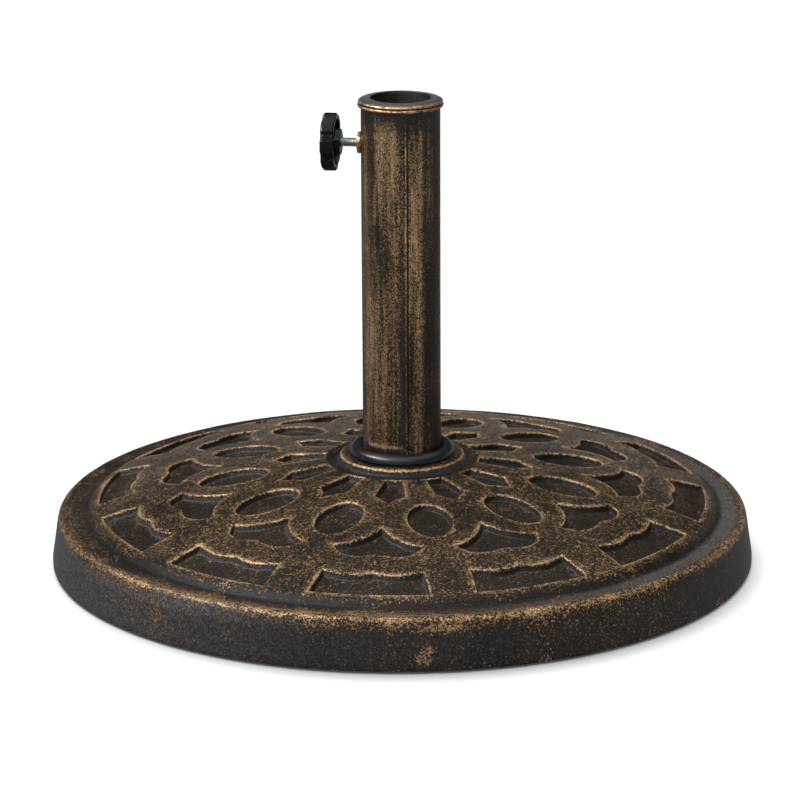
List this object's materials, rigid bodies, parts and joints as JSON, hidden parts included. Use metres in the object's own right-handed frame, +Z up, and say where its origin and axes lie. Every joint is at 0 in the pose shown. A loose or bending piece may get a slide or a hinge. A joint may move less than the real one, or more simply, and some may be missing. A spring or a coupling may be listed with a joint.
{
  "type": "parasol base",
  "caption": "Round cast parasol base with a domed relief of rings and spokes, an upright pole tube with a beaded collar, and a side clamp with a fluted hand knob.",
  "frame": {"origin": "middle of the base, on the floor", "axes": "+Z up along the pole tube; the clamp knob points to -X, 8 degrees towards +Y"},
  "size_m": [0.45, 0.45, 0.3],
  "materials": {
    "bronze_paint": "near-black brown paint, dry-brushed with copper bronze on a cast mineral body",
    "tube_paint": "near-black brown paint with vertical bronze brush streaks",
    "collar_paint": "bronze dry-brushed over dark brown",
    "sleeve_paint": "dark grey-brown with a bronze-brushed bead",
    "nut_paint": "bronze dry-brushed over dark brown",
    "satin_black": "satin black",
    "knob_black": "semi-matt moulded black",
    "foot_rubber": "matt black",
    "steel": "plain turned steel",
    "zinc": "bright zinc plated",
    "pad_brass": "turned brass"
  },
  "bodies": {
    "base": {"weight_disc": "bronze_paint", "foot_pad_1": "foot_rubber", "foot_pad_2": "foot_rubber", "foot_pad_3": "foot_rubber", "foot_pad_4": "foot_rubber", "foot_pad_5": "foot_rubber", "foot_pad_6": "foot_rubber", "foot_ring": "satin_black", "pole_tube": "tube_paint", "tube_foot_plate": "steel", "centre_bolt": "zinc", "spring_washer": "zinc", "penny_washer": "zinc", "anchor_sleeve": "steel", "collar_bead": "collar_paint", "reducer_sleeve": "sleeve_paint", "clamp_nut": "nut_paint"},
    "pad": {"pressure_pad": "pad_brass"},
    "knob": {"clamp_screw": "zinc", "clamp_knob": "knob_black", "knob_cap": "knob_black"}
  },
  "joints": [
    {"name": "clamp_travel", "type": "slide", "parent": "base", "child": "pad", "axis": [0.9903, -0.1392, 0], "range_m": [-0.0023, 0.0083]},
    {"name": "knob_turn", "type": "hinge", "parent": "pad", "child": "knob", "pos_m": [-0.04357, 0.00612, 0.2704], "axis": [0.9903, -0.1392, 0], "range_deg": [-828, 2988]}
  ],
  "couplings": [
    {"joint": "knob_turn", "follows": "clamp_travel", "rad_per_m": 6283.2}
  ]
}
